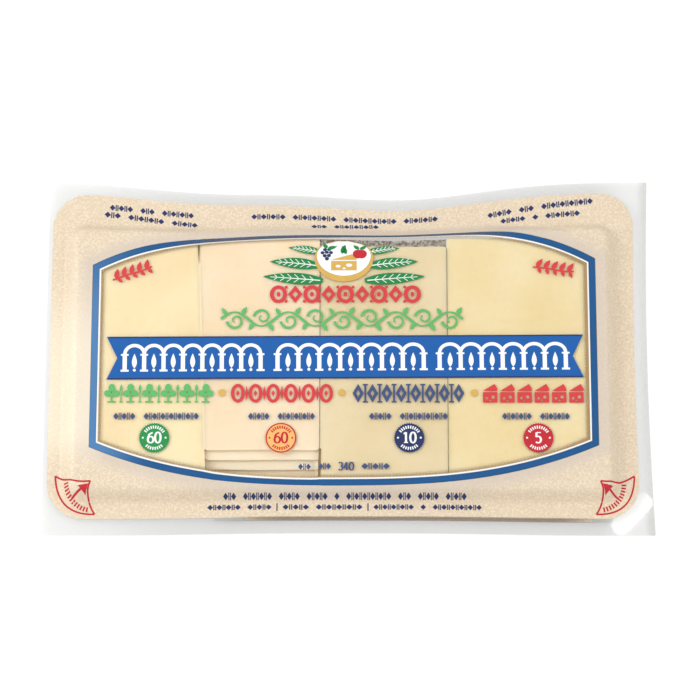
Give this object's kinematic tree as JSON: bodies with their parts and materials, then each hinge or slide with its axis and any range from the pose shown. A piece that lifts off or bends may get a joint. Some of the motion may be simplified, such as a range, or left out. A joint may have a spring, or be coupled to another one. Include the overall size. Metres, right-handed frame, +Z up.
{
  "type": "pack of sliced cheese",
  "caption": "Flat clear vacuum pack of sliced cheese in stacks lying side by side, with a printed label framing a window, a banner and round badges.",
  "frame": {"origin": "middle of the pack in plan, on the surface that it lies on", "axes": "+X to the right of the print, +Y towards the print's upper edge, +Z up out of the printed face"},
  "size_m": [0.302, 0.1829, 0.012],
  "materials": {
    "bottom_film": "clear formed film, glossy",
    "top_film": "clear sealing film, glossy",
    "pale_cheese": "soft, slightly moist",
    "cream_cheese": "soft, slightly moist",
    "straw_cheese": "firm, slightly moist",
    "golden_cheese": "firm, slightly moist",
    "label_print": "printed film, parchment pattern",
    "blue_print": "printed film",
    "white_print": "printed film",
    "green_print": "printed film",
    "orange_print": "printed film",
    "navy_print": "printed film",
    "red_print": "printed film"
  },
  "bodies": {
    "root": {"bottom_film": "bottom_film", "top_film": "top_film", "pale_stack_slice_1": "pale_cheese", "pale_stack_slice_2": "pale_cheese", "pale_stack_slice_3": "pale_cheese", "pale_stack_slice_4": "pale_cheese", "cream_stack_slice_1": "cream_cheese", "cream_stack_slice_2": "cream_cheese", "cream_stack_slice_3": "cream_cheese", "cream_stack_slice_4": "cream_cheese", "straw_stack_slice_1": "straw_cheese", "straw_stack_slice_2": "straw_cheese", "straw_stack_slice_3": "straw_cheese", "straw_stack_slice_4": "straw_cheese", "golden_stack_slice_1": "golden_cheese", "golden_stack_slice_2": "golden_cheese", "golden_stack_slice_3": "golden_cheese", "golden_stack_slice_4": "golden_cheese", "label_border": "label_print", "window_blue_line": "blue_print", "window_white_line": "white_print", "banner": "blue_print", "green_badge": "green_print", "orange_badge": "orange_print", "navy_badge": "navy_print", "red_badge": "red_print"}
  },
  "joints": []
}
